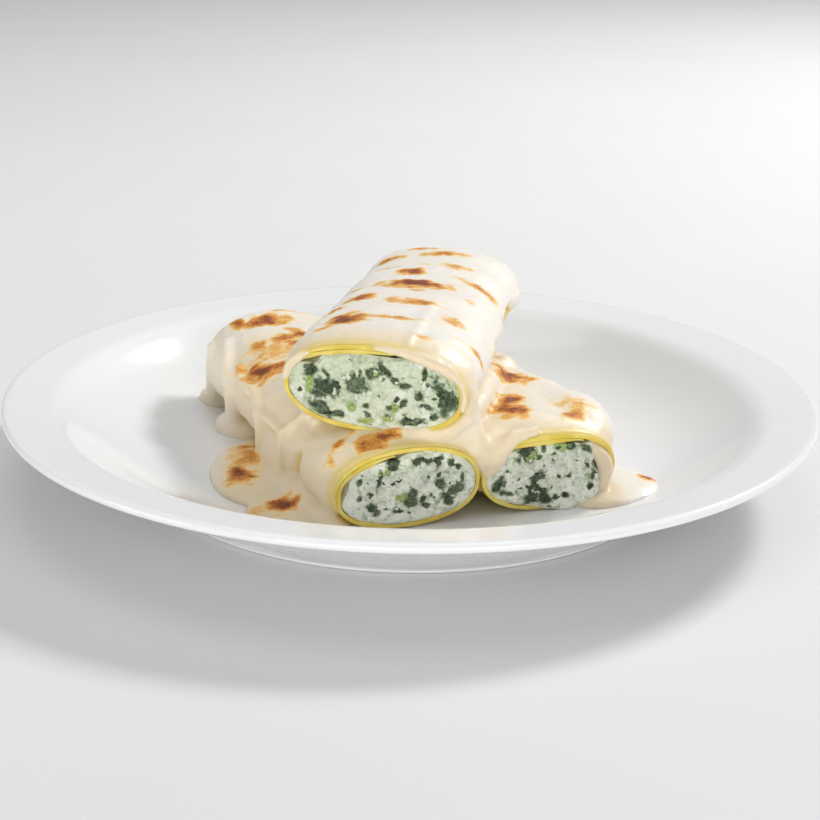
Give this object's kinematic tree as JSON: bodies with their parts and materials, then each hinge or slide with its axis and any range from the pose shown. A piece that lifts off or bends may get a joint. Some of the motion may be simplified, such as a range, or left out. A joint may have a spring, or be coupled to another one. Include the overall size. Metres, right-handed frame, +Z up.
{
  "type": "plate of cannelloni",
  "caption": "Filled pasta rolls with spinach and ricotta under browned bechamel, stacked on a round white coupe plate.",
  "frame": {"origin": "on the table under the middle of the plate", "axes": "+Z up, -Y towards the side that the cut ends of the rolls face, +X to the right seen from there"},
  "size_m": [0.21, 0.21, 0.0506],
  "materials": {
    "porcelain": "glazed white porcelain",
    "egg_pasta": "moist, slightly see-through egg pasta",
    "spinach_ricotta": "moist crumbly ricotta with chopped spinach",
    "bechamel": "glossy cream sauce with grilled brown spots"
  },
  "bodies": {
    "root": {"plate": "porcelain", "pasta_left": "egg_pasta", "pasta_right": "egg_pasta", "pasta_top": "egg_pasta", "filling_left": "spinach_ricotta", "filling_right": "spinach_ricotta", "filling_top": "spinach_ricotta", "bechamel": "bechamel"}
  },
  "joints": []
}
